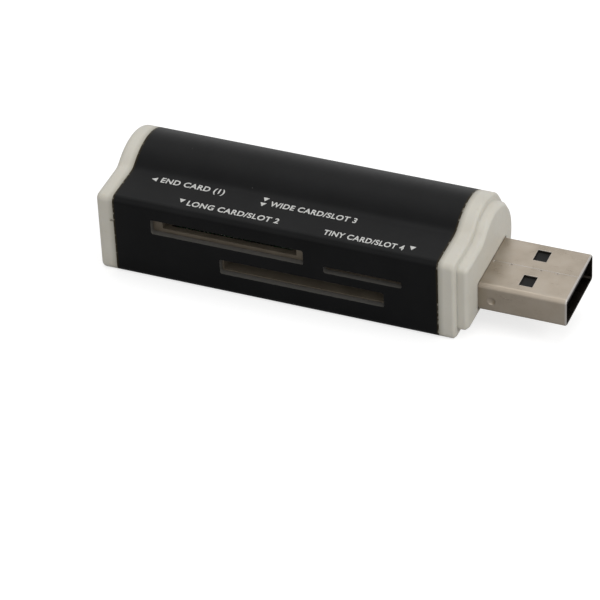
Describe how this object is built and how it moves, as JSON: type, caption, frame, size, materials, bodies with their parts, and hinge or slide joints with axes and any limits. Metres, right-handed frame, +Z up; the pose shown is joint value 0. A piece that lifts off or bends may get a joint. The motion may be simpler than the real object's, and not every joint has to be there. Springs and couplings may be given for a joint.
{
  "type": "usb memory card reader",
  "caption": "Stick-shaped USB memory card reader: a black extruded sleeve with card slots, an ivory end cap and a stepped ivory collar round a bare USB plug.",
  "frame": {"origin": "on the table, under the middle of the reader's box as it lies at rest", "axes": "+X along the reader from the capped end to the plug, +Y from the slotted front to the round back, +Z up; the reader lies on its barrel and its lower front edge, so its section leans about 10 degrees"},
  "size_m": [0.0684, 0.0222, 0.0169],
  "materials": {
    "anodised_aluminium": "black anodised, satin",
    "ivory_plastic": "moulded, fine satin",
    "cream_plastic": "moulded, matt",
    "board_laminate": "green solder mask",
    "plug_steel": "warm nickel plate, satin",
    "socket_steel": "nickel plate",
    "tinned_lead": "tinned",
    "black_plastic": "moulded, matt",
    "contact_gilt": "gold flash",
    "chip_epoxy": "moulded epoxy",
    "capacitor_ceramic": "fired ceramic",
    "resistor_ceramic": "glazed ceramic"
  },
  "bodies": {
    "root": {"sleeve": "anodised_aluminium", "end_cap": "ivory_plastic", "plug_collar": "ivory_plastic", "upper_card_guide": "cream_plastic", "lower_card_guide": "cream_plastic", "circuit_board": "board_laminate", "plug_shell": "plug_steel", "plug_tongue": "black_plastic", "plug_contacts": "contact_gilt", "long_card_block": "black_plastic", "long_card_contacts": "contact_gilt", "wide_card_block": "black_plastic", "wide_card_contacts": "contact_gilt", "micro_card_base": "black_plastic", "micro_card_cover": "socket_steel", "micro_card_contacts": "contact_gilt", "mini_card_block": "black_plastic", "mini_card_contacts": "contact_gilt", "controller_chip": "chip_epoxy", "controller_leads": "tinned_lead", "timing_crystal": "socket_steel", "capacitors": "capacitor_ceramic", "resistors": "resistor_ceramic"}
  },
  "joints": []
}
